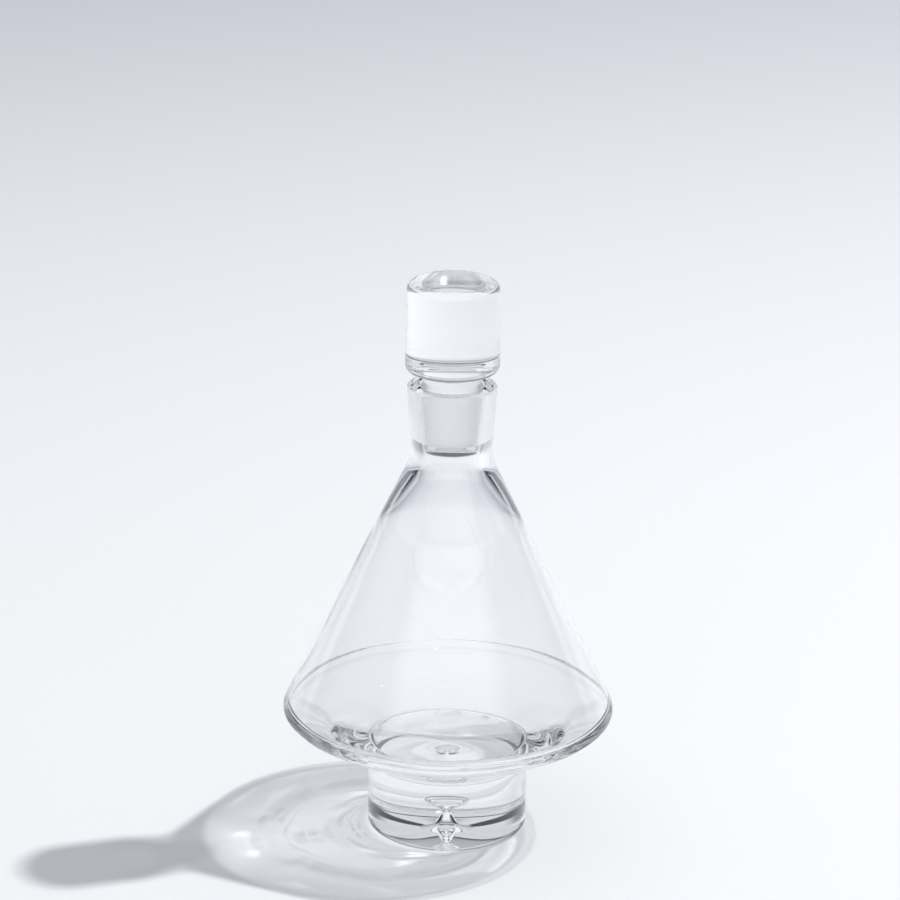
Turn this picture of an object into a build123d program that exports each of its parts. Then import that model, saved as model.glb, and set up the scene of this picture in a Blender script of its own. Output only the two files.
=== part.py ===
"""Wine decanter in thick clear glass: a conical bowl on a solid foot, with a heavy ground stopper.

Millimetres, +Z up. The origin is the centre of the foot's underside, where it stands on a table.
Every piece is turned about the Z axis, so each one is a closed half-outline in the XZ plane whose
corners are (radius, height, rounding), revolved once.
"""

from build123d import *
import os
from math import ceil, cos, pi, radians, sin, tan

# ---- driving dimensions ----------------------------------------------------------------------
# Foot: one solid gather of glass, ground to a shallow dish underneath
FOOT_RADIUS = 40.0
FOOT_HEIGHT = 35.0
FOOT_EDGE_ROUNDING = 3.0
DISH_RADIUS = 30.0
DISH_DEPTH = 1.7

# Air trap in the foot: a bell that opens into the dish, a pinched waist and a bubble above it
TRAP_BRIM_RADIUS = 8.5
TRAP_BELL_RADIUS = 4.7
TRAP_WAIST_RADIUS = 1.4
TRAP_WAIST_HEIGHT = 10.6
TRAP_BUBBLE_RADIUS = 7.3
TRAP_BUBBLE_HEIGHT = 17.3
TRAP_TOP_HEIGHT = 19.3

# Bowl, outside: the pan rises from the foot to a round rim, and the cone closes to the neck
PAN_ANGLE = 30.0
PAN_START_HEIGHT = 36.8
PAN_ROUNDING = 3.0
RIM_CORNER_RADIUS = 83.6
RIM_ROUNDING = 3.5
CONE_ANGLE = 25.6
SHOULDER_ROUNDING = 24.0
NECK_BASE_HEIGHT = 195.0
LIP_HEIGHT = 232.0
LIP_RADIUS = 22.1
LIP_ROUNDING = 1.2

# Bowl, inside: a dished floor that meets the cone in a sharp crease, then a thin wall. The glass is
# thickest over the foot, where the floor flattens out, and thins again toward the rim
FLOOR_HEIGHT = 44.0
FLOOR_EDGE_RADIUS = 59.0
FLOOR_EDGE_HEIGHT = 53.0
CREASE_RADIUS = 76.0
CREASE_HEIGHT = 62.0
WALL_BASE_HEIGHT = 66.0
WALL_THICKNESS = 2.2
WALL_TOP_HEIGHT = 161.5
THROAT_RADIUS = 14.6
THROAT_HEIGHT = 190.0
THROAT_ROUNDING = 20.0

# Ground joint between the neck and the stopper
PLUG_TOP_HEIGHT = 231.5
PLUG_TOP_RADIUS = 15.7
PLUG_GROUND_END_HEIGHT = 204.5
PLUG_GROUND_END_RADIUS = 12.9
PLUG_END_HEIGHT = 199.5
PLUG_END_ROUNDING = 0.6
PLUG_TOP_ROUNDING = 0.8
JOINT_GAP = 0.1

# Stopper head above the neck
COLLAR_RADIUS = 13.8
COLLAR_HEIGHT = 234.0
COLLAR_ROUNDING = 2.5
HEAD_BOTTOM_HEIGHT = 239.0
HEAD_TOP_HEIGHT = 284.2
HEAD_BOTTOM_RADIUS = 23.3
HEAD_WAIST_RADIUS = 22.4
HEAD_WAIST_HEIGHT = 268.0
HEAD_TOP_RADIUS = 22.7
HEAD_EDGE_ROUNDING = 4.0

# Small roundings are cut in flats, one for each step of this size; wider ones stay true arcs
ROUNDING_PER_FLAT = 2.5
WIDEST_FLATTED_ROUNDING = 5.0

# ---- worked-out dimensions -------------------------------------------------------------------
PAN_SLOPE = tan(radians(PAN_ANGLE))
CONE_SLOPE = tan(radians(CONE_ANGLE))
RIM_CORNER_HEIGHT = PAN_START_HEIGHT + (RIM_CORNER_RADIUS - FOOT_RADIUS) * PAN_SLOPE
PLUG_TAPER = (PLUG_TOP_RADIUS - PLUG_GROUND_END_RADIUS) / (PLUG_TOP_HEIGHT - PLUG_GROUND_END_HEIGHT)


def cone_radius(height):
    """Outer radius of the bowl's cone at a height."""
    return RIM_CORNER_RADIUS - (height - RIM_CORNER_HEIGHT) * CONE_SLOPE


def plug_radius(height):
    """Radius of the stopper's tapered plug at a height, carried on past its ends."""
    return PLUG_TOP_RADIUS - (PLUG_TOP_HEIGHT - height) * PLUG_TAPER


def wall_inside(height):
    """Inner radius of the cone at a height, where its wall is thin."""
    return cone_radius(height) - WALL_THICKNESS


def flatted_corner(before, corner, after):
    """Points on the arc that rounds a corner, so that flats between them carry the outline round."""
    rounding = corner[2]
    tip = Vector(corner[0], corner[1])
    backward = (Vector(before[0], before[1]) - tip).normalized()
    forward = (Vector(after[0], after[1]) - tip).normalized()
    half_turn = radians(180 - backward.get_angle(forward)) / 2
    centre = tip + (backward + forward).normalized() * (rounding / cos(half_turn))
    first_arm = tip + backward * (rounding * tan(half_turn)) - centre
    last_arm = tip + forward * (rounding * tan(half_turn)) - centre
    flats = ceil(rounding / ROUNDING_PER_FLAT)
    arms = [first_arm * (flats - step) + last_arm * step for step in range(flats + 1)]
    return [centre + arm.normalized() * rounding for arm in arms]


def outline(*corners):
    """Closed half-outline through corners (radius, height, rounding)."""
    points = []
    arcs = []
    for place, corner in enumerate(corners):
        if 0 < corner[2] <= WIDEST_FLATTED_ROUNDING:
            rounded = flatted_corner(corners[place - 1], corner, corners[place + 1])
            points += rounded
            arcs += [0] * len(rounded)
        else:
            points.append(corner[:2])
            arcs.append(corner[2])
    return FilletPolyline(*points, radius=tuple(arcs), close=True)


def trap_outline():
    """Corners of the dish and the air trap, from the table up to the top of the bubble."""
    corners = [(0, 0, 0), (DISH_RADIUS, 0, 0)]
    for step in range(3):
        rise = step / 3
        radius = TRAP_BELL_RADIUS + (TRAP_WAIST_RADIUS - TRAP_BELL_RADIUS) * rise
        flare = (TRAP_BRIM_RADIUS - TRAP_BELL_RADIUS) * (1 - rise) ** 8
        height = DISH_DEPTH + (TRAP_WAIST_HEIGHT - DISH_DEPTH) * rise
        corners.append((radius + flare, height, 0))
    for step in range(4):
        swell = (1 - cos(pi * step / 3)) / 2
        radius = TRAP_WAIST_RADIUS + (TRAP_BUBBLE_RADIUS - TRAP_WAIST_RADIUS) * swell
        height = TRAP_WAIST_HEIGHT + (TRAP_BUBBLE_HEIGHT - TRAP_WAIST_HEIGHT) * step / 3
        corners.append((radius, height, 0))
    for step in range(1, 3):
        turn = pi / 2 * step / 3
        radius = TRAP_BUBBLE_RADIUS * cos(turn)
        height = TRAP_BUBBLE_HEIGHT + (TRAP_TOP_HEIGHT - TRAP_BUBBLE_HEIGHT) * sin(turn)
        corners.append((radius, height, 0))
    corners.append((0, TRAP_TOP_HEIGHT, 0))
    return corners


os.makedirs("parts", exist_ok=True)

# ---- bowl: pan, cone and neck, blown in one piece -----------------------------------------------
with BuildPart() as bowl:
    with BuildSketch(Plane.XZ):
        with BuildLine():
            outline(
                (0, FOOT_HEIGHT, 0),
                (FOOT_RADIUS, FOOT_HEIGHT, 0),
                (FOOT_RADIUS, PAN_START_HEIGHT, PAN_ROUNDING),
                (RIM_CORNER_RADIUS, RIM_CORNER_HEIGHT, RIM_ROUNDING),
                (cone_radius(NECK_BASE_HEIGHT), NECK_BASE_HEIGHT, SHOULDER_ROUNDING),
                (LIP_RADIUS, LIP_HEIGHT, LIP_ROUNDING),
                (0, LIP_HEIGHT, 0),
            )
        make_face()
    revolve(axis=Axis.Z)

    with BuildSketch(Plane.XZ):
        with BuildLine():
            outline(
                (0, FLOOR_HEIGHT, 0),
                (FLOOR_EDGE_RADIUS, FLOOR_EDGE_HEIGHT, 0),
                (CREASE_RADIUS, CREASE_HEIGHT, 0),
                (wall_inside(WALL_BASE_HEIGHT), WALL_BASE_HEIGHT, 0),
                (wall_inside(WALL_TOP_HEIGHT), WALL_TOP_HEIGHT, 0),
                (THROAT_RADIUS, THROAT_HEIGHT, THROAT_ROUNDING),
                (plug_radius(PLUG_GROUND_END_HEIGHT) + JOINT_GAP, PLUG_GROUND_END_HEIGHT, 0),
                (plug_radius(LIP_HEIGHT) + JOINT_GAP, LIP_HEIGHT, 0),
                (0, LIP_HEIGHT, 0),
            )
        make_face()
    revolve(axis=Axis.Z, mode=Mode.SUBTRACT)
bowl.part.label = "bowl"

# ---- foot: a solid cylinder with the air trap in its middle ----------------------------------
with BuildPart() as foot:
    with BuildSketch(Plane.XZ):
        with BuildLine():
            outline(
                (0, 0, 0),
                (FOOT_RADIUS, 0, FOOT_EDGE_ROUNDING),
                (FOOT_RADIUS, FOOT_HEIGHT, 0),
                (0, FOOT_HEIGHT, 0),
            )
        make_face()
    revolve(axis=Axis.Z)

    with BuildSketch(Plane.XZ):
        with BuildLine():
            outline(*trap_outline())
        make_face()
    revolve(axis=Axis.Z, mode=Mode.SUBTRACT)
foot.part.label = "foot"

# ---- stopper: waisted head, clear collar and ground plug in one solid ------------------------
with BuildPart() as stopper:
    with BuildSketch(Plane.XZ):
        with BuildLine():
            outline(
                (0, PLUG_END_HEIGHT, 0),
                (plug_radius(PLUG_END_HEIGHT), PLUG_END_HEIGHT, PLUG_END_ROUNDING),
                (PLUG_TOP_RADIUS, PLUG_TOP_HEIGHT, PLUG_TOP_ROUNDING),
                (COLLAR_RADIUS, COLLAR_HEIGHT, 0),
                (COLLAR_RADIUS, HEAD_BOTTOM_HEIGHT, COLLAR_ROUNDING),
                (HEAD_BOTTOM_RADIUS, HEAD_BOTTOM_HEIGHT, HEAD_EDGE_ROUNDING),
                (HEAD_WAIST_RADIUS, HEAD_WAIST_HEIGHT, 0),
                (HEAD_TOP_RADIUS, HEAD_TOP_HEIGHT, HEAD_EDGE_ROUNDING),
                (0, HEAD_TOP_HEIGHT, 0),
            )
        make_face()
    revolve(axis=Axis.Z)
stopper.part.label = "stopper"

for piece in (bowl, foot, stopper):
    export_step(piece.part, f"parts/{piece.part.label}.step")
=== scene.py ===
import bpy
import bmesh
from math import cos, exp, hypot, pi, radians, sin, tan
from mathutils import Matrix, Vector


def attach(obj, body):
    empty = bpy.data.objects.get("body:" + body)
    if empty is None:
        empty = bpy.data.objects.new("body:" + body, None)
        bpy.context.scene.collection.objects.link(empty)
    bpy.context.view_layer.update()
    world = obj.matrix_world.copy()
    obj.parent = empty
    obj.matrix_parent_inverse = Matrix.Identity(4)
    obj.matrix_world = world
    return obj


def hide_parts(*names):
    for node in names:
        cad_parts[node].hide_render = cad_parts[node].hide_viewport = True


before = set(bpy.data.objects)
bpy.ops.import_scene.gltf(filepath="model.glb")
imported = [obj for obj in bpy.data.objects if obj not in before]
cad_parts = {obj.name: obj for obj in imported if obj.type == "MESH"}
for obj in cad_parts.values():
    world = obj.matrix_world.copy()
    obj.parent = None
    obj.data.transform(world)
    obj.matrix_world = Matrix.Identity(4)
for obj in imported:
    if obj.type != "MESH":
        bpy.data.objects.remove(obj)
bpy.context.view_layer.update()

MM = 0.001

# ---- dimensions of the glass, in millimetres, as in the CAD part ---------------------------------
FOOT_RADIUS = 40.0
PAN_START = 36.8
RIM_CORNER = 83.6
LIP_TOP = 232.0
PLUG_TOP = 231.5
PLUG_TOP_RADIUS = 15.7
GROUND_END = 204.5
GROUND_END_RADIUS = 12.9
JOINT_GAP = 0.1
WALL = 2.2
PAN_ANGLE, CONE_ANGLE = 30, 25.6
RIM_HEIGHT = PAN_START + (RIM_CORNER - FOOT_RADIUS) * tan(radians(PAN_ANGLE))
LIP_RADIUS = 22.1
NECK_BASE = 195
THROAT_RADIUS, THROAT_HEIGHT = 14.6, 190
WALL_BASE, WALL_TOP = 66, 161.5
CREASE_RADIUS, CREASE_HEIGHT = 76, 62
FLOOR_EDGE_RADIUS, FLOOR_EDGE_HEIGHT = 59, 53
FLOOR_HEIGHT = 44
PLUG_END = 199.5
COLLAR_RADIUS, COLLAR_HEIGHT = 13.8, 234
HEAD_BOTTOM, HEAD_WAIST, HEAD_TOP = 239, 268, 284.2
HEAD_BOTTOM_RADIUS, HEAD_WAIST_RADIUS, HEAD_TOP_RADIUS = 23.3, 22.4, 22.7
HEAD_EDGE_ROUNDING = 4
WAIST_RADIUS, WAIST_HEIGHT = 1.4, 10.6
BUBBLE_RADIUS, BUBBLE_HEIGHT, BUBBLE_TOP = 7.3, 17.3, 19.3
BRIM_RADIUS, BELL_RADIUS = 8.5, 4.7
DISH_RADIUS, DISH_DEPTH = 30.0, 1.7


def cone(z):
    """Outer radius of the bowl's cone."""
    return RIM_CORNER - (z - RIM_HEIGHT) * tan(radians(CONE_ANGLE))


def plug(z):
    """Radius of the stopper's plug, carried on past its ends."""
    taper = (PLUG_TOP_RADIUS - GROUND_END_RADIUS) / (PLUG_TOP - GROUND_END)
    return PLUG_TOP_RADIUS - (PLUG_TOP - z) * taper


# ---- turned meshes -------------------------------------------------------------------------------
def rounded(corners, step=radians(5)):
    """A half-outline from corners (radius, height, rounding) as points (radius, height, smooth)."""
    points = []
    for i, (x, y, rounding) in enumerate(corners):
        if rounding == 0 or i in (0, len(corners) - 1):
            points.append((x, y, i in (0, len(corners) - 1)))
            continue
        tip = Vector((x, y))
        backward = (Vector(corners[i - 1][:2]) - tip).normalized()
        forward = (Vector(corners[i + 1][:2]) - tip).normalized()
        turn = pi - backward.angle(forward)
        centre = tip + (backward + forward).normalized() * rounding / cos(turn / 2)
        first = tip + backward * rounding * tan(turn / 2) - centre
        last = tip + forward * rounding * tan(turn / 2) - centre
        count = max(2, int(turn / step) + 1)
        for k in range(count + 1):
            arm = first * sin(turn * (1 - k / count)) + last * sin(turn * k / count)
            p = centre + arm.normalized() * rounding
            points.append((p.x, p.y, True))
    return points


def subdivided(points, longest):
    """The same outline with its long straight runs cut, so that they can bend a little."""
    out = [points[0]]
    for a, b in zip(points, points[1:]):
        cuts = int(hypot(b[0] - a[0], b[1] - a[1]) / longest)
        for k in range(1, cuts + 1):
            t = k / (cuts + 1)
            out.append((a[0] + (b[0] - a[0]) * t, a[1] + (b[1] - a[1]) * t, True))
        out.append(b)
    return out


def turned(name, points, segments, shift=None):
    """A closed mesh turned about Z from a half-outline in millimetres that starts and ends on the axis.

    An outline point is (radius, height, smooth); its ring is a hard edge where smooth is False. shift moves
    a point (radius, height, angle), for glass that isn't quite even.
    """
    verts, faces, rings, hard = [], [], [], set()
    for r, z, smooth in points:
        first = len(verts)
        if r < 1e-6:
            verts.append((0, 0, z * MM))
            rings.append([first])
            continue
        for j in range(segments):
            a = 2 * pi * j / segments
            rr, zz = shift(r, z, a) if shift else (r, z)
            verts.append((rr * cos(a) * MM, rr * sin(a) * MM, zz * MM))
        rings.append(list(range(first, first + segments)))
        if not smooth:
            hard.add(first)
    for low, high in zip(rings, rings[1:]):
        for j in range(segments):
            k = (j + 1) % segments
            if len(low) == 1:
                faces.append((low[0], high[k], high[j]))
            elif len(high) == 1:
                faces.append((low[j], low[k], high[0]))
            else:
                faces.append((low[j], low[k], high[k], high[j]))
    mesh = bpy.data.meshes.new(name)
    mesh.from_pydata(verts, [], faces)
    bm = bmesh.new()
    bm.from_mesh(mesh)
    bmesh.ops.recalc_face_normals(bm, faces=bm.faces)
    bm.verts.ensure_lookup_table()
    for f in bm.faces:
        f.smooth = True
    for first in hard:
        ring = set(range(first, first + segments))
        for v in range(first, first + segments):
            for e in bm.verts[v].link_edges:
                if e.verts[0].index in ring and e.verts[1].index in ring:
                    e.smooth = False
    bm.to_mesh(mesh)
    bm.free()
    obj = bpy.data.objects.new(name, mesh)
    bpy.context.scene.collection.objects.link(obj)
    return obj


# ---- materials -----------------------------------------------------------------------------------
CLEAR_TINT = (0.994, 0.997, 1.0)
GROUND_TINT = (0.995, 0.995, 1.0)
GROUND_ROUGHNESS = 0.3
GLASS_IOR = 1.5


def glass(name, roughness=0.0, tint=CLEAR_TINT):
    """Glass as (material, node tree, shader)."""
    mat = bpy.data.materials.new(name)
    mat.use_nodes = True
    shader = mat.node_tree.nodes["Principled BSDF"]
    shader.inputs["Base Color"].default_value = (*tint, 1)
    shader.inputs["Transmission Weight"].default_value = 1.0
    shader.inputs["Roughness"].default_value = roughness
    shader.inputs["IOR"].default_value = GLASS_IOR
    return mat, mat.node_tree, shader


def node(tree, kind, **values):
    """A new node with its inputs or settings given by name."""
    n = tree.nodes.new(kind)
    for key, value in values.items():
        if key in n.inputs:
            n.inputs[key].default_value = value
        else:
            setattr(n, key, value)
    return n


def fade(tree, source, start, end):
    """0 below start and 1 above end, eased, or the other way round if start is the larger."""
    ramp = node(tree, "ShaderNodeMapRange", interpolation_type="SMOOTHSTEP")
    low, high = min(start, end), max(start, end)
    ramp.inputs["From Min"].default_value = low
    ramp.inputs["From Max"].default_value = high
    ramp.inputs["To Min"].default_value = float(start > end)
    ramp.inputs["To Max"].default_value = float(start < end)
    tree.links.new(source, ramp.inputs["Value"])
    return ramp.outputs["Result"]


def times(tree, a, b):
    """The product of two outputs."""
    product = node(tree, "ShaderNodeMath", operation="MULTIPLY")
    tree.links.new(a, product.inputs[0])
    tree.links.new(b, product.inputs[1])
    return product.outputs[0]


def toned(tree, base, tone, mask):
    """The colour base, a tuple or an output, painted with tone where mask is 1."""
    mix = node(tree, "ShaderNodeMix", data_type="RGBA")
    first, second = [socket for socket in mix.inputs if socket.type == "RGBA"]
    if isinstance(base, tuple):
        first.default_value = base
    else:
        tree.links.new(base, first)
    second.default_value = tone
    tree.links.new(mask, mix.inputs["Factor"])
    return [socket for socket in mix.outputs if socket.type == "RGBA"][0]


def ripple(tree, shader, stretch, scale, strength, distance):
    """A faint bump: the slow ripple of blown glass, or the fine grain of ground glass."""
    where = node(tree, "ShaderNodeTexCoord")
    mapping = node(tree, "ShaderNodeMapping")
    mapping.inputs["Scale"].default_value = stretch
    noise = node(tree, "ShaderNodeTexNoise", Scale=scale, Detail=1.0)
    bump = node(tree, "ShaderNodeBump", Strength=strength, Distance=distance)
    tree.links.new(where.outputs["Object"], mapping.inputs["Vector"])
    tree.links.new(mapping.outputs["Vector"], noise.inputs["Vector"])
    tree.links.new(noise.outputs["Fac"], bump.inputs["Height"])
    tree.links.new(bump.outputs["Normal"], shader.inputs["Normal"])


def let_lamps_through(tree, shader, face_on, edge_on):
    """Lets a lamp shine straight through the glass, tinted face_on or edge_on by how the glass is met.

    It holds only where no refracted path from the lamp is found.
    """
    out = tree.nodes["Material Output"]
    rays = node(tree, "ShaderNodeLightPath")
    weight = node(tree, "ShaderNodeLayerWeight", Blend=0.35)
    tint = toned(tree, face_on, edge_on, weight.outputs["Facing"])
    passing = node(tree, "ShaderNodeBsdfTransparent")
    choice = node(tree, "ShaderNodeMixShader")
    tree.links.new(tint, passing.inputs["Color"])
    tree.links.new(rays.outputs["Is Shadow Ray"], choice.inputs[0])
    tree.links.new(shader.outputs["BSDF"], choice.inputs[1])
    tree.links.new(passing.outputs["BSDF"], choice.inputs[2])
    tree.links.new(choice.outputs["Shader"], out.inputs["Surface"])


clear, tree, shader = glass("clear_glass")
ripple(tree, shader, stretch=(1, 1, 0.4), scale=25, strength=0.25, distance=1.0 * MM)
let_lamps_through(tree, shader, (0.985, 0.985, 0.985, 1), (0.35, 0.36, 0.38, 1))
head_glass, tree, shader = glass("stopper_clear_glass")
ripple(tree, shader, stretch=(1, 1, 0.4), scale=30, strength=0.12, distance=1.0 * MM)
let_lamps_through(tree, shader, (0.3, 0.3, 0.3, 1), (0.10, 0.11, 0.13, 1))
ground, tree, shader = glass("ground_glass", GROUND_ROUGHNESS, GROUND_TINT)
ripple(tree, shader, stretch=(1, 1, 1), scale=2500, strength=0.3, distance=0.02 * MM)
let_lamps_through(tree, shader, (0.75, 0.75, 0.75, 1), (0.3, 0.3, 0.3, 1))


# ---- vessel: bowl and foot are one piece of glass --------------------------------------------------
CROWN_STEPS, BUBBLE_STEPS, BELL_STEPS, DISH_STEPS = 10, 14, 18, 8


def trap():
    """The air trap from the top of its bubble down to the edge of the ground dish."""
    crown = [
        (BUBBLE_RADIUS * sin(t), BUBBLE_HEIGHT + (BUBBLE_TOP - BUBBLE_HEIGHT) * cos(t), True)
        for t in [pi / 2 * k / CROWN_STEPS for k in range(CROWN_STEPS + 1)]
    ]
    crown[0] = (0, BUBBLE_TOP, True)
    bubble = [
        (
            WAIST_RADIUS + (BUBBLE_RADIUS - WAIST_RADIUS) * (1 + cos(pi * k / BUBBLE_STEPS)) / 2,
            BUBBLE_HEIGHT - (BUBBLE_HEIGHT - WAIST_HEIGHT) * k / BUBBLE_STEPS,
            True,
        )
        for k in range(1, BUBBLE_STEPS + 1)
    ]
    bell = []
    for k in range(1, BELL_STEPS + 1):
        t = (k / BELL_STEPS) ** 0.6
        r = WAIST_RADIUS + (BELL_RADIUS - WAIST_RADIUS) * t + (BRIM_RADIUS - BELL_RADIUS) * t**8
        bell.append((r, WAIST_HEIGHT - (WAIST_HEIGHT - DISH_DEPTH) * t, k < BELL_STEPS))
    dish = []
    for k in range(1, DISH_STEPS + 1):
        t = k / DISH_STEPS
        r = BRIM_RADIUS + (DISH_RADIUS - BRIM_RADIUS) * t
        dish.append((r, DISH_DEPTH * (1 - t), k < DISH_STEPS))
    return crown + bubble + bell + dish


UNEVEN_HEIGHT, UNEVEN_SPREAD = 60, 14


def hand_made(r, z, a):
    """Shifts a point by the slight unevenness of hand-blown glass.

    It acts on the pan and on the inside of the bowl, most near UNEVEN_HEIGHT, and leaves the outside of
    the cone, the neck and the foot true.
    """
    uneven = FLOOR_HEIGHT - 1 < z < WALL_TOP - 1.5 and 1 < r < cone(z) - 1
    if not uneven:
        return r, z
    low = exp(-(((z - UNEVEN_HEIGHT) / UNEVEN_SPREAD) ** 2))
    lift = 0.28 * sin(2 * a + 0.9) + 0.16 * sin(5 * a + 2.2) + 0.10 * sin(9 * a + 0.4)
    push = 0.10 * sin(3 * a + 1.7) + 0.06 * sin(7 * a + 0.3)
    return r + push * low, z + lift * low * min(1, r / 50)


VESSEL_SEGMENTS, STOPPER_SEGMENTS = 288, 224
LONGEST_RUN = 9
outer = rounded(
    [
        (DISH_RADIUS, 0, 0),
        (FOOT_RADIUS, 0, 3),
        (FOOT_RADIUS, PAN_START, 3),
        (RIM_CORNER, RIM_HEIGHT, 3.5),
        (cone(NECK_BASE), NECK_BASE, 24),
        (LIP_RADIUS, LIP_TOP, 1.2),
        (plug(LIP_TOP) + JOINT_GAP, LIP_TOP, 0.5),
        (plug(GROUND_END) + JOINT_GAP, GROUND_END, 0),
        (THROAT_RADIUS, THROAT_HEIGHT, 20),
        (cone(WALL_TOP) - WALL, WALL_TOP, 40),
        (cone(WALL_BASE) - WALL, WALL_BASE, 3),
        (CREASE_RADIUS, CREASE_HEIGHT, 0),
        (FLOOR_EDGE_RADIUS, FLOOR_EDGE_HEIGHT, 18),
        (0, FLOOR_HEIGHT, 0),
    ]
)
vessel = turned(
    "decanter_glass", trap() + subdivided(outer[1:], LONGEST_RUN), VESSEL_SEGMENTS, hand_made
)
vessel.data.materials.append(clear)
vessel.data.materials.append(ground)
for face in vessel.data.polygons:
    height = face.center.z / MM
    on_bore = abs(hypot(face.center.x, face.center.y) / MM - plug(height) - JOINT_GAP) < 0.05
    if GROUND_END < height < PLUG_TOP and on_bore:
        face.material_index = 1
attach(vessel, "vessel")
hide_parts("bowl", "foot")

# ---- stopper ---------------------------------------------------------------------------------------
stopper = turned(
    "stopper_glass_piece",
    rounded(
        [
            (0, PLUG_END, 0),
            (plug(PLUG_END), PLUG_END, 0.6),
            (plug(GROUND_END), GROUND_END, 0),
            (PLUG_TOP_RADIUS, PLUG_TOP, 0.8),
            (COLLAR_RADIUS, COLLAR_HEIGHT, 1.5),
            (COLLAR_RADIUS, HEAD_BOTTOM, 2.5),
            (HEAD_BOTTOM_RADIUS, HEAD_BOTTOM, HEAD_EDGE_ROUNDING),
            (HEAD_WAIST_RADIUS, HEAD_WAIST, 60),
            (HEAD_TOP_RADIUS, HEAD_TOP, HEAD_EDGE_ROUNDING),
            (0, HEAD_TOP, 0),
        ]
    ),
    STOPPER_SEGMENTS,
)
stopper.data.materials.append(head_glass)
stopper.data.materials.append(ground)
for face in stopper.data.polygons:
    height = face.center.z / MM
    on_plug = abs(hypot(face.center.x, face.center.y) / MM - plug(height)) < 0.2
    if GROUND_END < height < PLUG_TOP - 0.6 and on_plug:
        face.material_index = 1
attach(stopper, "stopper")
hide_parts("stopper")

for piece in (vessel, stopper):
    piece.cycles.is_caustics_caster = True

# ---- floor -----------------------------------------------------------------------------------------
floor_mesh = bpy.data.meshes.new("floor")
FLOOR_REACH = 6.0
FLOOR_LEVEL = -0.0002
FLOOR_CORNERS = 64
corner_angles = [2 * pi * k / FLOOR_CORNERS for k in range(FLOOR_CORNERS)]
floor_ring = [(FLOOR_REACH * cos(a), FLOOR_REACH * sin(a), FLOOR_LEVEL) for a in corner_angles]
floor_mesh.from_pydata(floor_ring, [], [tuple(range(FLOOR_CORNERS))])
floor = bpy.data.objects.new("floor", floor_mesh)
bpy.context.scene.collection.objects.link(floor)
floor_mat = bpy.data.materials.new("floor_white")
floor_mat.use_nodes = True
floor_tree = floor_mat.node_tree
floor_shader = floor_tree.nodes["Principled BSDF"]
floor_shader.inputs["Roughness"].default_value = 0.7
floor_shader.inputs["Specular IOR Level"].default_value = 0.2
# Painted shade: the floor's colour darkens from the near tone in front to a greyer far tone towards the back,
# standing in for the light falling off with distance.
FLOOR_FADE_END = 2.6
FLOOR_NEAR = (0.755, 0.757, 0.765, 1)
FLOOR_FAR_PAINTED_SHADE = (0.51, 0.515, 0.555, 1)
floor_place = node(floor_tree, "ShaderNodeTexCoord")
floor_split = node(floor_tree, "ShaderNodeSeparateXYZ")
floor_tree.links.new(floor_place.outputs["Object"], floor_split.inputs[0])
backward = fade(floor_tree, floor_split.outputs["Y"], 0.0, FLOOR_FADE_END)
floor_painted_shade_colour = toned(floor_tree, FLOOR_NEAR, FLOOR_FAR_PAINTED_SHADE, backward)
floor_tree.links.new(floor_painted_shade_colour, floor_shader.inputs["Base Color"])
floor_mesh.materials.append(floor_mat)
floor.cycles.is_caustics_receiver = True

# ---- light -----------------------------------------------------------------------------------------
world = bpy.data.worlds.new("studio")
bpy.context.scene.world = world
world.use_nodes = True
sky_tree = world.node_tree
background = sky_tree.nodes["Background"]
direction = node(sky_tree, "ShaderNodeTexCoord")
split = node(sky_tree, "ShaderNodeSeparateXYZ")
sky_tree.links.new(direction.outputs["Generated"], split.inputs[0])
level = split.outputs["Z"]
depth = split.outputs["Y"]
side = node(sky_tree, "ShaderNodeMath", operation="ABSOLUTE")
sky_tree.links.new(split.outputs["X"], side.inputs[0])


def band(start, end, edge):
    """1 between two heights of the sky's direction, easing to 0 over the edge on both sides."""
    return times(sky_tree, fade(sky_tree, level, start - edge, start), fade(sky_tree, level, end + edge, end))


facing = fade(sky_tree, depth, 0.05, -0.6)
behind = fade(sky_tree, depth, 0.0, 0.25)
sideways = fade(sky_tree, side.outputs[0], 0.50, 0.80)
SURROUNDINGS = (0.64, 0.66, 0.70, 1)
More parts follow.
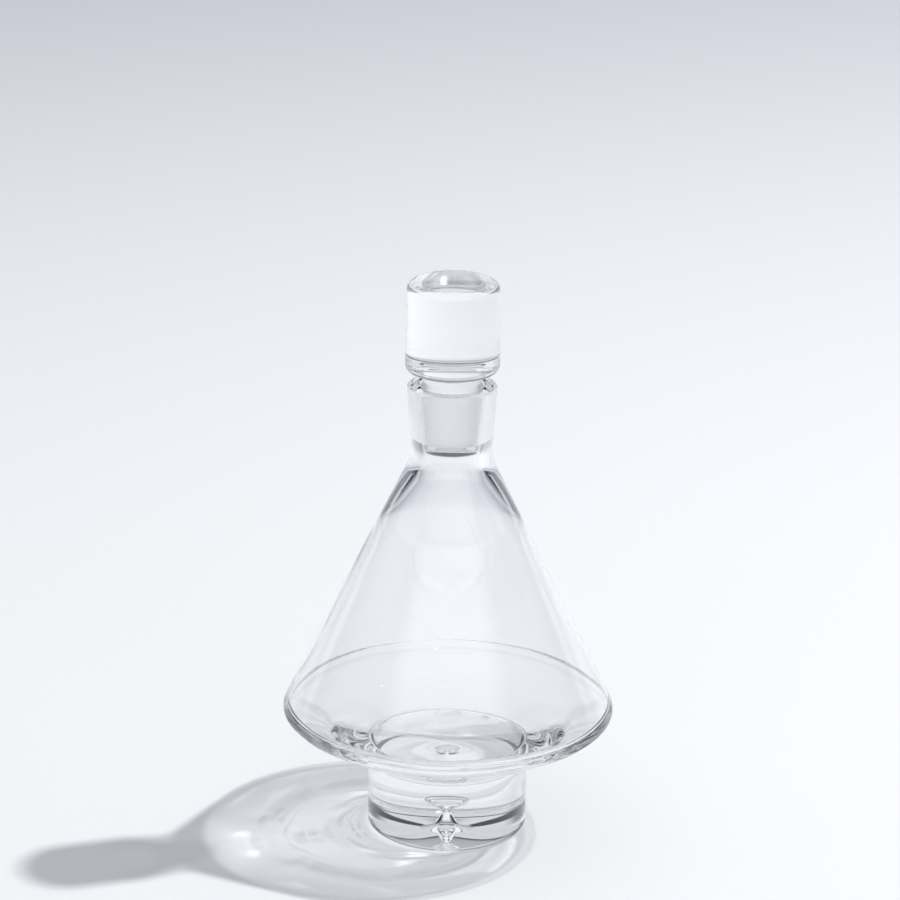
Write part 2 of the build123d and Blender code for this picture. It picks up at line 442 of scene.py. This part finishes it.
# (tone, mask): a bright panel in front, dark bands behind and at the sides, a black band high in front
PAINT = [
    ((1.05, 1.07, 1.11, 1), times(sky_tree, band(0.20, 0.56, 0.05), facing)),
    ((0.22, 0.24, 0.28, 1), times(sky_tree, band(0.08, 0.19, 0.04), behind)),
    ((0.01, 0.015, 0.03, 1), times(sky_tree, band(0.29, 0.37, 0.02), behind)),
    ((0.02, 0.03, 0.05, 1), times(sky_tree, band(0.11, 0.44, 0.06), sideways)),
    ((0.01, 0.012, 0.018, 1), times(sky_tree, band(0.64, 0.75, 0.03), facing)),
]
sky = SURROUNDINGS
for tone, mask in PAINT:
    sky = toned(sky_tree, sky, tone, mask)
sky_tree.links.new(sky, background.inputs["Color"])
background.inputs["Strength"].default_value = 1.0


def disk_light(name, place, target, size, power):
    """A round lamp at place that faces target and throws refracted light through the glass."""
    light = bpy.data.lights.new(name, "AREA")
    light.shape = "DISK"
    light.size = size
    light.energy = power
    obj = bpy.data.objects.new(name, light)
    bpy.context.scene.collection.objects.link(obj)
    obj.location = place
    obj.rotation_mode = "QUATERNION"
    light.cycles.is_caustics_light = True
    obj.rotation_quaternion = (Vector(place) - Vector(target)).to_track_quat("Z", "Y")


disk_light("key", place=(2.57, 0.83, 4.2), target=(0, 0, 0.1), size=0.17, power=200)

# ---- camera ----------------------------------------------------------------------------------------
camera = bpy.data.cameras.new("camera")
camera.sensor_width = 36
camera.lens = 140
camera_obj = bpy.data.objects.new("camera", camera)
bpy.context.scene.collection.objects.link(camera_obj)
CAMERA_TARGET = Vector((-0.0007, 0, 0.1982))
CAMERA_DISTANCE = 1.712
tilt, roll = radians(19.06), radians(0.75)
back = Vector((0, -cos(tilt), sin(tilt)))
right = Vector((1, 0, 0))
up = right.cross(-back)
rolled_right = right * cos(roll) + up * sin(roll)
rolled_up = up * cos(roll) - right * sin(roll)
pose = Matrix((rolled_right, rolled_up, back)).transposed().to_4x4()
pose.translation = CAMERA_TARGET + back * CAMERA_DISTANCE
camera_obj.matrix_world = pose
scene = bpy.context.scene
scene.camera = camera_obj
scene.view_settings.view_transform = "Standard"
GLASS_BOUNCES = 32
scene.cycles.max_bounces = GLASS_BOUNCES
scene.cycles.transmission_bounces = GLASS_BOUNCES
scene.cycles.glossy_bounces = GLASS_BOUNCES
